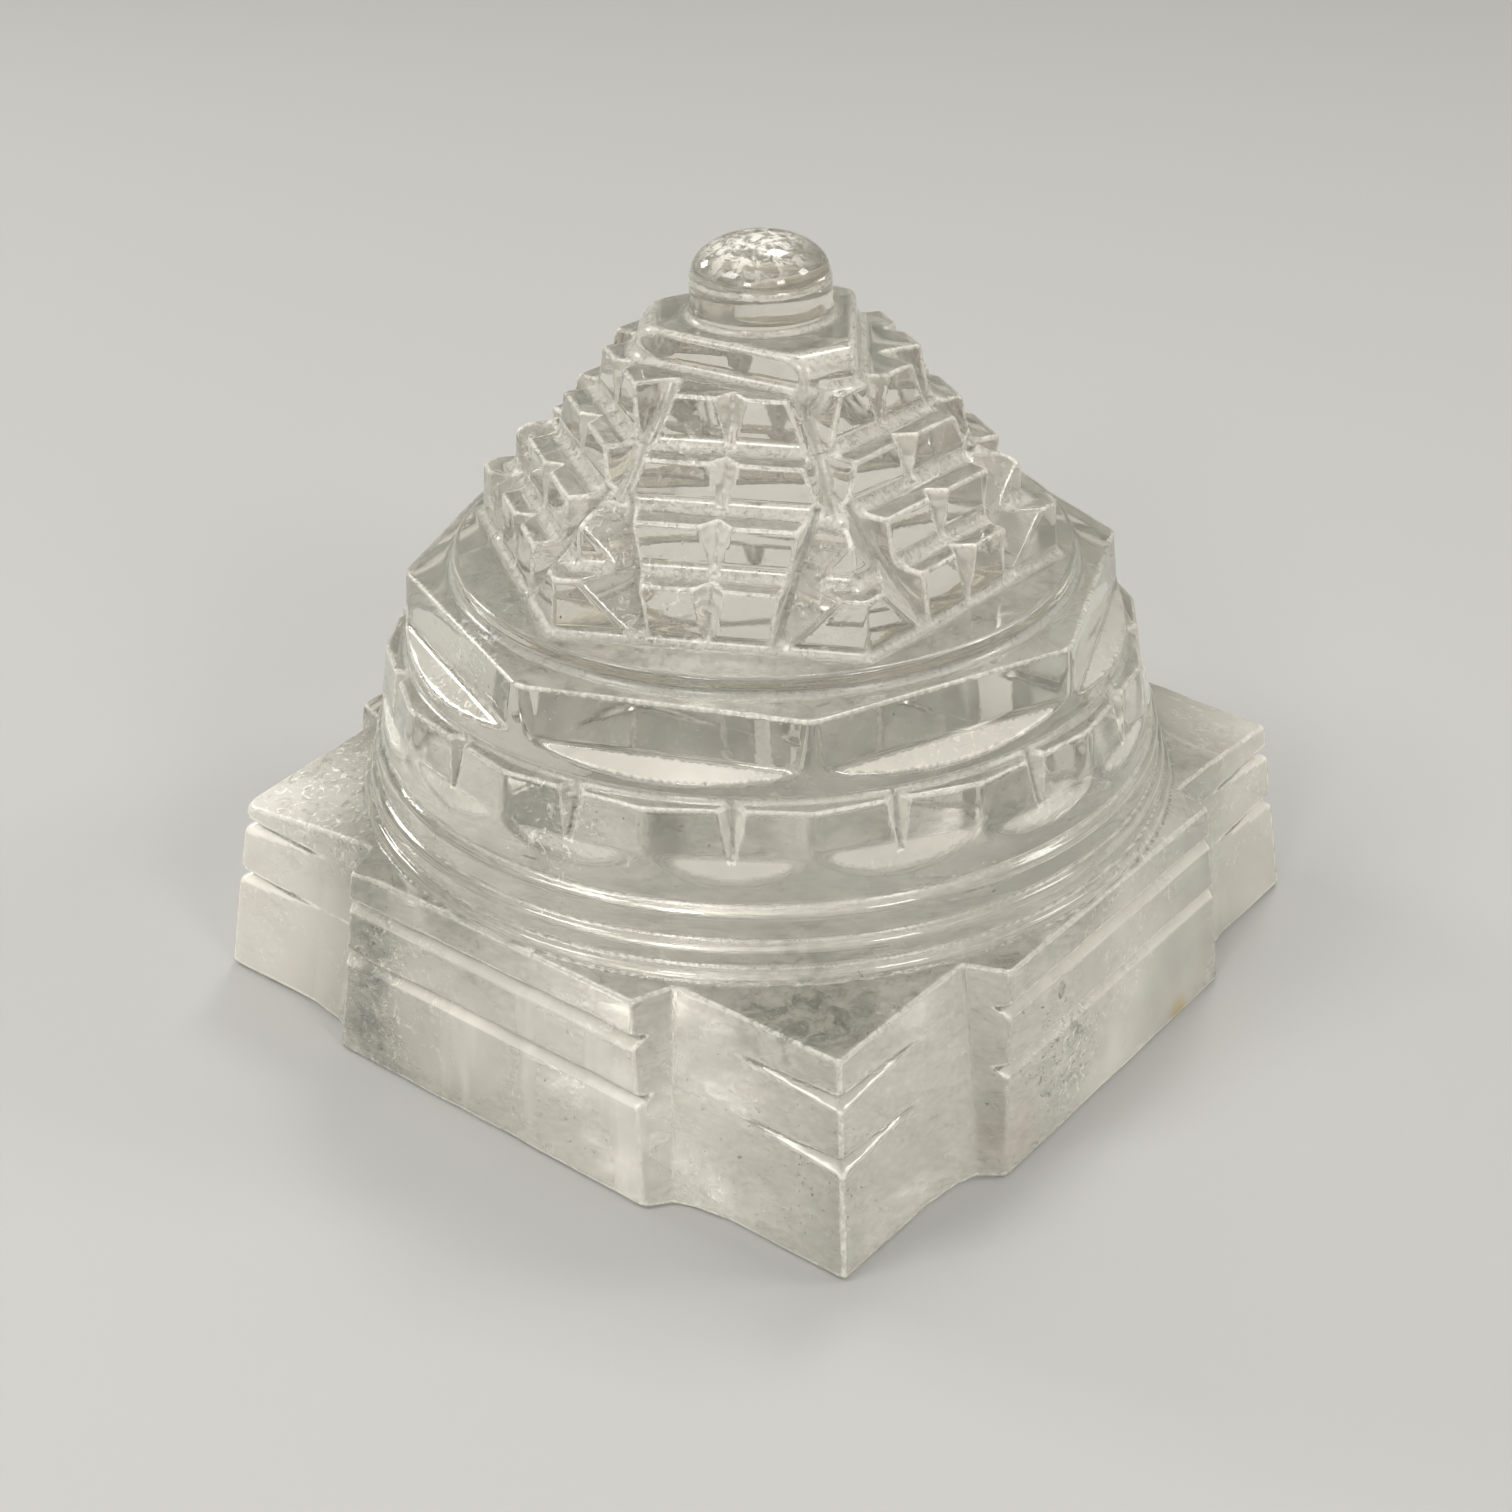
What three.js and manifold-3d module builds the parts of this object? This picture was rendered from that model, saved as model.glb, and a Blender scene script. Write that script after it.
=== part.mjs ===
// Stepped crystal shri yantra (meru form), millimetres, +Z up.
// Origin: centre of the underside. -Y and +X are the two sides seen from the usual viewpoint.
// The stone is built tier by tier, each enclosure a separate solid that sits face to face on the one below.
import * as THREE from 'three';
import { mergeVertices } from 'three/addons/utils/BufferGeometryUtils.js';
import Module from 'manifold-3d';

const wasm = await Module();
wasm.setup();

// Driving dimensions: the square base, called the bhupura
const BASE_HEIGHT = 14.5;
const CORNER_HALF_BOTTOM = 27.4;   // half width across the four corner blocks
const CORNER_HALF_TOP = 25.6;
const GATE_HALF_BOTTOM = 29.8;     // half width across the four projecting gates
const GATE_HALF_TOP = 28.5;
const GATE_HALF_LENGTH_BOTTOM = 13.6;
const GATE_HALF_LENGTH_TOP = 12.1;
// Root of the upright notch beside each gate: distance along the side, then out from the axis
const NOTCH_BOTTOM = [14.8, 28.3];
const NOTCH_TOP = [13.2, 25.7];
const NOTCH_LAP = 1.2;             // width of the notch's shallow side
const GROOVE_HEIGHTS = [7.75, 11.85];
const GROOVE_DEPTH = 0.85;
const GROOVE_BELOW = 0.75;         // height of the sloping lower side of a groove
const GROOVE_ABOVE = 0.3;          // height of its steep upper side
const GROOVE_FADE = 7.5;           // a groove on a corner block runs out this far from the corner

// Driving dimensions: the three round girdles, called the mekhala
const GIRDLE_TOPS = [15.3, 16.9, 19.0];
const GIRDLE_RADII = [28.3, 27.7, 27.15];
const GIRDLE_SHOULDER = 0.55;      // each girdle's rounded upper edge, across and up
const ROUND_SEGMENTS = 96;

// Driving dimensions: the two lotus tiers
// lean is how far the wall draws in over its height; the flat cuts start from floor with a scoop that high
const SIXTEEN = { count: 16, foot: 19.0, top: 25.0, radius: 26.6, lean: 0.5, scoop: 1.3, floor: 20.5 };
const EIGHT = { count: 8, foot: 25.0, top: 30.2, radius: 24.5, lean: 0.4, scoop: 0.9, floor: 26.0 };
const PETAL_NOTCH_DEPTH = 1.25;
const PETAL_NOTCH_WIDTH = 1.3;

// Driving dimensions: the hexagonal triangle tiers, from the lowest up
const PLINTH_RADIUS = 20.9;
const PLINTH_TOP = 31.5;
const TIER_LEVELS = [31.5, 35.2, 38.4, 41.4, 44.7];
const TIER_INRADII = [17.1, 14.9, 12.3, 9.9];
const TIER_LEAN = 0.25;
const TIER_TURN = -3;              // degrees, all the triangle tiers are cut a little turned on the base
const NOTCH_HALF_ANGLE = 24;       // degrees, the narrow cut between two triangles of a side
const CORNER_HALF_ANGLE = 36;      // degrees, the wide cuts down the six corners
const CORNER_DEPTH = 0.8;          // how far the root of a corner cut lies behind the tiers' feet
const LEG_SPREAD_LOW = 17;         // degrees from the corner at the lowest tier's foot
const LEG_SPREAD_HIGH = 4;         // degrees from the corner where the two cuts meet above

// Driving dimensions: the crown
const PLATE_TOP = 46.9;
const PLATE_INRADIUS = 6.1;
const PLATE_CORNERS = [9.0, 7.9, 7.9];  // reach of each blunt corner, the front one first
const PLATE_TURN = 7;              // degrees, the hand-cut plate sits a little turned
const PLATE_SEAT = 7.4;            // the cuts of the tier below run in as far as this inradius
const BINDU_RADIUS = 4.6;
const BINDU_FILLET = 0.6;
const BINDU_RIM = 49.9;
const BINDU_TOP = 52.0;

const CRYSTAL = { color: 0xd9d4c4, roughness: 0.12, metalness: 0 };
const radians = THREE.MathUtils.degToRad;

// Solids and meshes
function toSolid(geometry) {
  const bare = geometry.clone();
  bare.deleteAttribute('normal');
  bare.deleteAttribute('uv');
  const merged = mergeVertices(bare, 1e-5);
  const vertProperties = new Float32Array(merged.attributes.position.array);
  const triVerts = new Uint32Array(merged.index.array);
  return new wasm.Manifold(new wasm.Mesh({ numProp: 3, vertProperties, triVerts }));
}

function toGeometry(solid) {
  const mesh = solid.getMesh();
  const geometry = new THREE.BufferGeometry();
  geometry.setAttribute('position', new THREE.BufferAttribute(new Float32Array(mesh.vertProperties), 3));
  geometry.setIndex(new THREE.BufferAttribute(new Uint32Array(mesh.triVerts), 1));
  geometry.computeVertexNormals();
  return geometry;
}

function piece(name, geometry) {
  const mesh = new THREE.Mesh(geometry, new THREE.MeshStandardMaterial(CRYSTAL));
  mesh.name = name;
  return mesh;
}

function cutAll(solid, cutters) {
  return cutters.reduce((left, cutter) => left.subtract(cutter), solid);
}

// A closed body through outlines of equal point counts at rising heights
function loft(sections) {
  const count = sections[0].outline.length;
  const positions = [];
  const index = [];
  for (const { z, outline } of sections) {
    for (const [x, y] of outline) positions.push(x, y, z);
  }
  for (let level = 0; level < sections.length - 1; level++) {
    for (let i = 0; i < count; i++) {
      const a = level * count + i;
      const b = level * count + ((i + 1) % count);
      index.push(a, b, b + count);
      index.push(a, b + count, a + count);
    }
  }
  const last = (sections.length - 1) * count;
  const flat = (outline) => outline.map(([x, y]) => new THREE.Vector2(x, y));
  for (const [a, b, c] of THREE.ShapeUtils.triangulateShape(flat(sections[0].outline), [])) {
    index.push(c, b, a);
  }
  for (const [a, b, c] of THREE.ShapeUtils.triangulateShape(flat(sections.at(-1).outline), [])) {
    index.push(last + a, last + b, last + c);
  }
  const geometry = new THREE.BufferGeometry();
  geometry.setAttribute('position', new THREE.Float32BufferAttribute(positions, 3));
  geometry.setIndex(index);
  geometry.computeVertexNormals();
  return geometry;
}

function polar(radius, degrees) {
  return [radius * Math.cos(radians(degrees)), radius * Math.sin(radians(degrees))];
}

function ring(radius, segments = ROUND_SEGMENTS) {
  return Array.from({ length: segments }, (_, i) => polar(radius, (360 * i) / segments));
}

// The outline of the base at one height, with the wheel-cut groove sunk by cut
function bhupuraOutline(z, cut) {
  const rise = z / BASE_HEIGHT;
  const corner = THREE.MathUtils.lerp(CORNER_HALF_BOTTOM, CORNER_HALF_TOP, rise);
  const gate = THREE.MathUtils.lerp(GATE_HALF_BOTTOM, GATE_HALF_TOP, rise) - cut;
  const gateEnd = THREE.MathUtils.lerp(GATE_HALF_LENGTH_BOTTOM, GATE_HALF_LENGTH_TOP, rise);
  const root = THREE.MathUtils.lerp(NOTCH_BOTTOM[0], NOTCH_TOP[0], rise);
  const rootOut = THREE.MathUtils.lerp(NOTCH_BOTTOM[1], NOTCH_TOP[1], rise);
  const lap = (rootOut + corner) / 2;
  const side = [
    [-corner + cut, -corner + cut],
    [-corner + GROOVE_FADE, -corner],
    [-root - NOTCH_LAP, -lap],
    [-root, -rootOut],
    [-gateEnd, -gate],
    [gateEnd, -gate],
    [root, -rootOut],
    [root + NOTCH_LAP, -lap],
    [corner - GROOVE_FADE, -corner],
  ];
  const outline = [];
  for (let quarter = 0; quarter < 4; quarter++) {
    const c = Math.round(Math.cos(radians(90 * quarter)));
    const s = Math.round(Math.sin(radians(90 * quarter)));
    for (const [x, y] of side) outline.push([c * x - s * y, s * x + c * y]);
  }
  return outline;
}

function bhupuraBand(levels) {
  return loft(levels.map(([z, cut]) => ({ z, outline: bhupuraOutline(z, cut) })));
}

function bhupura() {
  const [low, high] = GROOVE_HEIGHTS;
  return [
    piece('bhupura_lower', bhupuraBand([[0, 0], [low - GROOVE_BELOW, 0], [low, GROOVE_DEPTH]])),
    piece('bhupura_middle', bhupuraBand([
      [low, GROOVE_DEPTH], [low + GROOVE_ABOVE, 0], [high - GROOVE_BELOW, 0], [high, GROOVE_DEPTH],
    ])),
    piece('bhupura_upper', bhupuraBand([[high, GROOVE_DEPTH], [high + GROOVE_ABOVE, 0], [BASE_HEIGHT, 0]])),
  ];
}

// One round girdle: an upright wall and a rounded shoulder
function girdle(foot, top, radius) {
  const steps = 3;
  const sections = [{ z: foot, outline: ring(radius) }];
  const wallTop = Math.max(foot + 0.15, top - GIRDLE_SHOULDER);
  for (let i = 0; i <= steps; i++) {
    const angle = (Math.PI / 2) * (i / steps);
    const z = wallTop + (top - wallTop) * Math.sin(angle);
    const inset = GIRDLE_SHOULDER * (1 - Math.cos(angle));
    sections.push({ z, outline: ring(radius - inset) });
  }
  return loft(sections);
}

function mekhala() {
  const names = ['mekhala_outer', 'mekhala_middle', 'mekhala_inner'];
  return names.map((name, i) => {
    const foot = i === 0 ? BASE_HEIGHT : GIRDLE_TOPS[i - 1];
    return piece(name, girdle(foot, GIRDLE_TOPS[i], GIRDLE_RADII[i]));
  });
}

// A cutter drawn in the upright plane at an angle: points are [distance from the axis, height]
function facetCutter(points, degrees, halfWidth) {
  const shape = new THREE.Shape(points.map(([r, z]) => new THREE.Vector2(r, z)));
  const geometry = new THREE.ExtrudeGeometry(shape, { depth: 2 * halfWidth, bevelEnabled: false });
  geometry.translate(0, 0, -halfWidth);
  geometry.rotateX(Math.PI / 2);
  geometry.rotateZ(radians(degrees));
  return toSolid(geometry);
}

// A straight V cut: its root runs from one point to the other and opens away from the axis
function veeCutter(from, to, halfAngle, size) {
  const start = new THREE.Vector3(...from);
  const end = new THREE.Vector3(...to);
  const along = end.clone().sub(start);
  const length = along.length();
  along.normalize();
  const radial = new THREE.Vector3(start.x + end.x, start.y + end.y, 0).normalize();
  const across = new THREE.Vector3().crossVectors(along, radial).normalize();
  const open = new THREE.Vector3().crossVectors(across, along).normalize();
  const spread = size * Math.tan(radians(halfAngle));
  const shape = new THREE.Shape([
    new THREE.Vector2(0, 0),
    new THREE.Vector2(size, -spread),
    new THREE.Vector2(size, spread),
  ]);
  const geometry = new THREE.ExtrudeGeometry(shape, { depth: length, bevelEnabled: false });
  geometry.applyMatrix4(new THREE.Matrix4().makeBasis(open, across, along));
  geometry.translate(start.x, start.y, start.z);
  return toSolid(geometry);
}

// A lotus tier: a round drum with flat wheel cuts, each ending below in a lens-shaped scoop
function lotus(spec, notched) {
  const step = 360 / spec.count;
  const body = toSolid(loft([
    { z: spec.foot, outline: ring(spec.radius) },
    { z: spec.top, outline: ring(spec.radius - spec.lean) },
  ]));
  const flat = spec.radius * Math.cos(radians(step / 2));
  const topFlat = (spec.radius - spec.lean) * Math.cos(radians(step / 2));
  const reach = spec.radius + 3;
  const profile = [
    [topFlat - 0.1, spec.top + 1],
    [flat - 0.15, spec.floor + spec.scoop],
    [flat + 0.1, spec.floor + spec.scoop * 0.55],
    [flat + 0.45, spec.floor + spec.scoop * 0.2],
    [flat + 1.1, spec.floor],
    [reach, spec.floor],
    [reach, spec.top + 1],
  ];
  const halfWidth = spec.radius * Math.sin(radians(step / 2)) + 1.5;
  const cutters = [];
  for (let i = 0; i < spec.count; i++) {
    const angle = step * (i + 0.5);
    cutters.push(facetCutter(profile, angle, halfWidth));
    if (notched) {
      const root = flat - PETAL_NOTCH_DEPTH;
      const low = [...polar(root + 0.9, angle), spec.floor + spec.scoop * 0.5];
      const high = [...polar(root - 0.5, angle), spec.top + 0.5];
      const half = THREE.MathUtils.radToDeg(Math.atan(PETAL_NOTCH_WIDTH / 2 / PETAL_NOTCH_DEPTH));
      cutters.push(veeCutter(low, high, half, 4));
    }
  }
  return cutAll(body, cutters);
}

// Directions of the six sides and corners of a triangle tier
const sideAngle = (side) => 60 * side + TIER_TURN;
const cornerAngle = (side) => 60 * side + 30 + TIER_TURN;
const cornerRadius = (inradius) => inradius / Math.cos(radians(30));

function hexagon(inradius) {
  return Array.from({ length: 6 }, (_, i) => polar(cornerRadius(inradius), cornerAngle(i)));
}

// The narrow cut in the middle of each side, from the tier's foot up to the foot of the tier above
function sideNotches(foot, top, inradius, above) {
  const cutters = [];
  for (let side = 0; side < 6; side++) {
    const low = [...polar(inradius + 0.35, sideAngle(side)), foot - 0.1];
    const high = [...polar(above + 0.15, sideAngle(side)), top + 0.4];
    cutters.push(veeCutter(low, high, NOTCH_HALF_ANGLE, 5));
  }
  return cutters;
}

// The single wide cut down each corner of the upper tiers
function cornerCuts(foot, top, inradius, above) {
  const cutters = [];
  for (let side = 0; side < 6; side++) {
    const low = [...polar(cornerRadius(inradius) - CORNER_DEPTH, cornerAngle(side)), foot - 0.2];
    const high = [...polar(cornerRadius(above) - CORNER_DEPTH, cornerAngle(side)), top + 0.5];
    cutters.push(veeCutter(low, high, CORNER_HALF_ANGLE, 6));
  }
  return cutters;
}

// The two cuts that part below each corner and leave a diamond spur between them
function cornerLegs() {
  const [plinth, , upper] = TIER_LEVELS;
  const cutters = [];
  for (let side = 0; side < 6; side++) {
    for (const hand of [-1, 1]) {
      const lowReach = TIER_INRADII[0] / Math.cos(radians(30 - LEG_SPREAD_LOW));
      const highReach = TIER_INRADII[2] / Math.cos(radians(30 - LEG_SPREAD_HIGH)) - CORNER_DEPTH / 2;
      const low = [...polar(lowReach, cornerAngle(side) + hand * LEG_SPREAD_LOW), plinth - 0.3];
      const high = [...polar(highReach, cornerAngle(side) + hand * LEG_SPREAD_HIGH), upper + 0.4];
      cutters.push(veeCutter(low, high, CORNER_HALF_ANGLE, 6));
    }
  }
  return cutters;
}

function triangleTier(level) {
  const foot = TIER_LEVELS[level];
  const top = TIER_LEVELS[level + 1];
  const inradius = TIER_INRADII[level];
  const above = level < 3 ? TIER_INRADII[level + 1] : PLATE_SEAT;
  const body = toSolid(loft([
    { z: foot, outline: hexagon(inradius) },
    { z: top, outline: hexagon(inradius - TIER_LEAN) },
  ]));
  const corners = level < 2 ? cornerLegs() : cornerCuts(foot, top, inradius, above);
  return cutAll(body, [...sideNotches(foot, top, inradius, above), ...corners]);
}

// The lowest triangle tier stands on a low round plinth cut from the same block
function fourteenTriangles() {
  const plinth = toSolid(loft([
    { z: EIGHT.top, outline: ring(PLINTH_RADIUS) },
    { z: PLINTH_TOP, outline: ring(PLINTH_RADIUS - 0.25) },
  ]));
  return plinth.add(triangleTier(0));
}

// The innermost triangle: three long sides and three blunt corners, drawn in by inset
function plateOutline(inset) {
  const inradius = PLATE_INRADIUS - inset;
  const points = [];
  PLATE_CORNERS.forEach((corner, i) => {
    const direction = 120 * i - 30 + PLATE_TURN;
    const reach = corner - inset;
    const half = (2 * inradius - reach) * Math.tan(radians(30));
    const [cx, cy] = polar(reach, direction);
    const [tx, ty] = polar(half, direction + 90);
    points.push([cx - tx, cy - ty], [cx + tx, cy + ty]);
  });
  return points;
}

function innermostTriangle() {
  return loft([
    { z: TIER_LEVELS.at(-1), outline: plateOutline(-0.25) },
    { z: PLATE_TOP - 0.25, outline: plateOutline(0) },
    { z: PLATE_TOP, outline: plateOutline(0.2) },
  ]);
}

// The bindu: a short round stem with a low domed top
function bindu() {
  const profile = [new THREE.Vector2(0, PLATE_TOP)];
  profile.push(new THREE.Vector2(BINDU_RADIUS + BINDU_FILLET, PLATE_TOP));
  for (let i = 1; i <= 3; i++) {
    const angle = radians(30 * i);
    const r = BINDU_RADIUS + BINDU_FILLET * (1 - Math.sin(angle));
    profile.push(new THREE.Vector2(r, PLATE_TOP + BINDU_FILLET * (1 - Math.cos(angle))));
  }
  const domeSteps = 8;
  for (let i = 0; i <= domeSteps; i++) {
    const angle = (Math.PI / 2) * (i / domeSteps);
    const z = BINDU_RIM + (BINDU_TOP - BINDU_RIM) * Math.sin(angle);
    profile.push(new THREE.Vector2(i === domeSteps ? 0 : BINDU_RADIUS * Math.cos(angle), z));
  }
  const geometry = new THREE.LatheGeometry(profile, 48);
  geometry.rotateX(Math.PI / 2);
  return geometry;
}

const yantra = new THREE.Group();
yantra.add(...bhupura());
yantra.add(...mekhala());
yantra.add(piece('sixteen_petal_lotus', toGeometry(lotus(SIXTEEN, true))));
yantra.add(piece('eight_petal_lotus', toGeometry(lotus(EIGHT, false))));
yantra.add(piece('fourteen_triangle_tier', toGeometry(fourteenTriangles())));
yantra.add(piece('outer_ten_triangle_tier', toGeometry(triangleTier(1))));
yantra.add(piece('inner_ten_triangle_tier', toGeometry(triangleTier(2))));
yantra.add(piece('eight_triangle_tier', toGeometry(triangleTier(3))));
yantra.add(piece('innermost_triangle', innermostTriangle()));
yantra.add(piece('bindu', bindu()));

export default yantra;
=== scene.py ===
# Dresses the stepped rock-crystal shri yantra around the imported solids.
# The stone's fine surface is written as a formula for the distance to it, in millimetres, and meshed here.
import math

import bpy
import numpy as np
from mathutils import Matrix, Vector


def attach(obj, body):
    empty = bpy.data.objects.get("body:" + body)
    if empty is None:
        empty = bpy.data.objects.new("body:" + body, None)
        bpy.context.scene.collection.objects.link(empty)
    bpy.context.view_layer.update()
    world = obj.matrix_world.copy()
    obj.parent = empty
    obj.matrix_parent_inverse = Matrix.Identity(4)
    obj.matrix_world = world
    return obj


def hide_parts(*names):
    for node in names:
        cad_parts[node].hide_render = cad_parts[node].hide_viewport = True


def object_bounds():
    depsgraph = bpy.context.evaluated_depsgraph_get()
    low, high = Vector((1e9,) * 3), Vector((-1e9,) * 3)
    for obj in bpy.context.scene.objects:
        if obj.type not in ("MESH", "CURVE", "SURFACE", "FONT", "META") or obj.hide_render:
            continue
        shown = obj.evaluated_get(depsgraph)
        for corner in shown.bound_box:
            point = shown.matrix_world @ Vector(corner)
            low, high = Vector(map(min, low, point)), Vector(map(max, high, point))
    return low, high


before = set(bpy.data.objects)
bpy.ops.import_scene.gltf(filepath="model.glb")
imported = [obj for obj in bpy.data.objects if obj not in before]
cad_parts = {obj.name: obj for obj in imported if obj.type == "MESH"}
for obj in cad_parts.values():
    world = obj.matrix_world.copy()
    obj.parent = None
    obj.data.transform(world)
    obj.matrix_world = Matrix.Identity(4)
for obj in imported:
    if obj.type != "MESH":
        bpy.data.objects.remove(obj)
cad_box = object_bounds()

MM = 0.001
VOXEL = 0.22          # spacing of the points at which the stone is sampled

# Sizes in millimetres and degrees. A pair is a size at the foot and at the top, or below and above.
BASE_HEIGHT = 14.5
CORNER_HALF = (27.4, 25.6)                    # half width across the four corner blocks
GATE_HALF = (29.8, 28.5)                      # half width across the four gates
GATE_END = (13.6, 12.1)                       # half length of a gate
NOTCH_SIDE = (14.8, 13.2)                     # root of the upright notch beside a gate, along the side
NOTCH_OUT = (28.3, 25.7)                      # and out from the axis
NOTCH_LAP = 1.2                               # width of the notch's shallow side
GROOVE_HEIGHTS = (7.75, 11.85)
GROOVE_DEPTH = 0.85
GROOVE_BELOW = 0.62                           # height of a groove's sloping lower side
GROOVE_ABOVE = 0.3                            # height of its steep upper side
GROOVE_FADE = 8.5                             # a groove on a corner block runs out this far from the corner
CORNER_GROOVE_DEPTH = 1.15
CORNER_GROOVE_RISE = 0.2                      # keeps the run-out of such a groove clear of the face
LOW_LEFT = 1.4                                # how much lower the treads of the side corners lie
LOW_RIGHT = 0.8
WIDE_LEFT = 0.014                             # share by which the left corner stands further out
LEFT_CORNER = (38.9, 35.9)                    # how far from the axis the left corner is blunted
WIDENS = (34.0, 20.0)                         # size of x + y where it starts to widen, and length to the full
LOWERS_LEFT = (38.0, 14.0)                    # the same for the lower treads of the side corners
LOWERS_RIGHT = (40.0, 14.0)
FOOT_EDGE = 0.35                              # softness of the worn edge round the underside
GIRDLES = ((15.3, 28.3), (16.9, 27.7), (19.0, 27.15))     # top and radius of each
SHOULDER = 0.62                               # each girdle's rounded upper edge
# floor, slope and scoop: height, slope and inner radius of a petal's scooped bed; set moves its facet out
SIXTEEN = dict(count=16, foot=19.0, top=25.0, radius=26.6, lean=0.5,
               floor=22.1, slope=2.15, scoop=0.08, set=-0.25)
EIGHT = dict(count=8, foot=25.0, top=30.2, radius=24.5, lean=0.4,
             floor=26.9, slope=0.48, scoop=0.3, set=0.05)
PETAL_CUT_LOW = (-0.05, 21.8)                 # root of the cut between petals: out from the facet, and height
PETAL_CUT_HIGH = (-1.7, 25.5)
PLINTH_RADIUS = 20.9
PLINTH_TOP = 31.5
PLINTH_FOOT = 29.0                            # hidden in the tier below
PLINTH_EDGE = 0.3
TIER_LEVELS = (31.5, 35.2, 38.4, 41.4, 44.7)
TIER_INRADII = (17.1, 14.9, 12.3, 9.9)
TIER_LEAN = 0.25
TIER_TURN = -3.0
SIDE_HALF_ANGLE = 43.0                        # of the cut between the two triangles of a side
SIDE_CUT_LOW = (0.1, 0.1)                     # its root, out from the tier's foot and up from it
SIDE_CUT_HIGH = (-1.45, 0.4)                  # and up from the tier's top
PETAL_HALF_ANGLE = 33.0                       # of the cut between two petals
CORNER_HALF_ANGLE = 36.0                      # of the cuts down the six corners of the upper tiers
CORNER_DEPTH = 0.8                            # how far the root of a corner cut lies behind the tiers' feet
CORNER_BELOW, CORNER_ABOVE = 0.2, 0.5         # how far a corner cut runs on past its tier's foot and top
CORNER_ROOT = 0.45                            # roundness of its root
LEG_HALF_ANGLE = 29.0                         # of the two cuts that part from each corner on the way down
LEG_SPREAD_LOW = 17.0                         # degrees from the corner at the lowest tier's foot
LEG_SPREAD_HIGH = 4.0                         # degrees from the corner where the two cuts meet above
LEG_BELOW, LEG_ABOVE = 0.3, 0.4               # how far a leg cut runs on below and above the two lower tiers
LEG_ROOT = 0.15
PLATE_TOP = 46.9
PLATE_INRADIUS = 6.1
PLATE_CORNERS = (9.0, 7.9, 7.9)               # reach of each blunt corner, the front one first
PLATE_TURN = 7.0
PLATE_LEAN = 0.1                              # how far the plate widens for each millimetre down
PLATE_BLUNT = 1.6                             # softness of its blunt corners
PLATE_SEAT = 7.4                              # the cuts of the tier below run in as far as this inradius
BINDU_RADIUS = 4.6
BINDU_FILLET = 0.6
BINDU_RIM = 49.5
BINDU_TOP = 52.0
DOME_POWER = 2.2                              # 2 is an ellipse, more is fuller at the shoulder

EDGE = 0.22                                   # softness of the cut edges
SEAT = 0.12                                   # softness of the inner corners
ROOT = 0.08                                   # roundness of the root of a V cut
COVE = 1.1                                    # softness of the inner corner at a triangle tier's foot
CUT_EDGE = 0.1                                # softness of the edges of narrow V cuts
WIDE_CUT_EDGE = 0.2                           # and of wide ones
PETAL_BOW, SIDE_BOW, WIDE_BOW = 0.15, 0.12, 0.2    # how far a cut's root sags into the stone halfway
RIPPLE = 0.007                                # height of each of the waves of hand work
SKIN = 0.02                                   # how far the whole surface lies inside the solids
FAR = 9.0                                     # stands for any distance that is well outside
SUNK = 1.0                                    # how far a tier's formula reaches down into the tier below
MEKHALA_SUNK, LOTUS_SUNK = 2.0, 1.5
WINDOW = 2.2                                  # a tier's formula is worked out only this near to its heights

GRID_LOW = np.array([-30.4, -30.4, -0.8])     # corner and size of the grid in which the stone is sampled
GRID_SIZE = np.array([60.8, 60.8, 54.0])
BLOCK = 8                                     # grid points are taken in cubes of so many a side
BATCH = 1500                                  # cubes sampled at a time
WEAR_AND_SHADE_REACH = 0.18                             # an edge or an inner corner is felt this far away
GROUND_WITHIN, GROUND_FADE = 0.10, 0.06       # how near to a V cut the stone is ground, and the fade
TIERS_FROM = 31.6                             # above this height the painted crease shade is weaker
TIER_CREASE_SHADE = 0.6
CUT_CLEARANCE = 0.02                          # no vertex lies nearer than this to a cut, so no sliver is left
# heights of the cuts between the pieces, and the pieces' names from below
CUT_LEVELS = (0.0, 7.75, 11.85, 14.95, 15.75, 17.35, 19.45, 25.45, 30.65, 35.45, 38.65, 41.65, 44.95, 47.1,
              60.0)
NAMES = ("bhupura_lower", "bhupura_middle", "bhupura_upper", "mekhala_outer", "mekhala_middle",
         "mekhala_inner", "sixteen_petal_lotus", "eight_petal_lotus", "fourteen_triangle_tier",
         "outer_ten_triangle_tier", "inner_ten_triangle_tier", "eight_triangle_tier", "innermost_triangle",
         "bindu")
random = np.random.default_rng(16)


# Distance formulas
def soft_max(a, b, soft):
    blend = np.maximum(soft - np.abs(a - b), 0.0) / soft
    return np.maximum(a, b) + blend * blend * soft * 0.25


def soft_min(a, b, soft):
    return -soft_max(-a, -b, soft)


def round_max(a, b, radius):
    u = np.maximum(a + radius, 0.0)
    v = np.maximum(b + radius, 0.0)
    return np.hypot(u, v) - radius + np.minimum(np.maximum(a, b) + radius, 0.0)


def lerp(pair, t):
    return pair[0] + (pair[1] - pair[0]) * t


def rises(value, span):
    """0 up to a start and 1 from a length further on, for a span of (start, length)."""
    return np.clip((value - span[0]) / span[1], 0, 1)


def band(value, low, high, soft):
    """1 between low and high, falling to 0 over soft on either side."""
    return np.clip((value - low) / soft, 0, 1) * np.clip((high - value) / soft, 0, 1)


def turn(x, y, degrees):
    c, s = math.cos(math.radians(degrees)), math.sin(math.radians(degrees))
    return c * x + s * y, c * y - s * x


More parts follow.
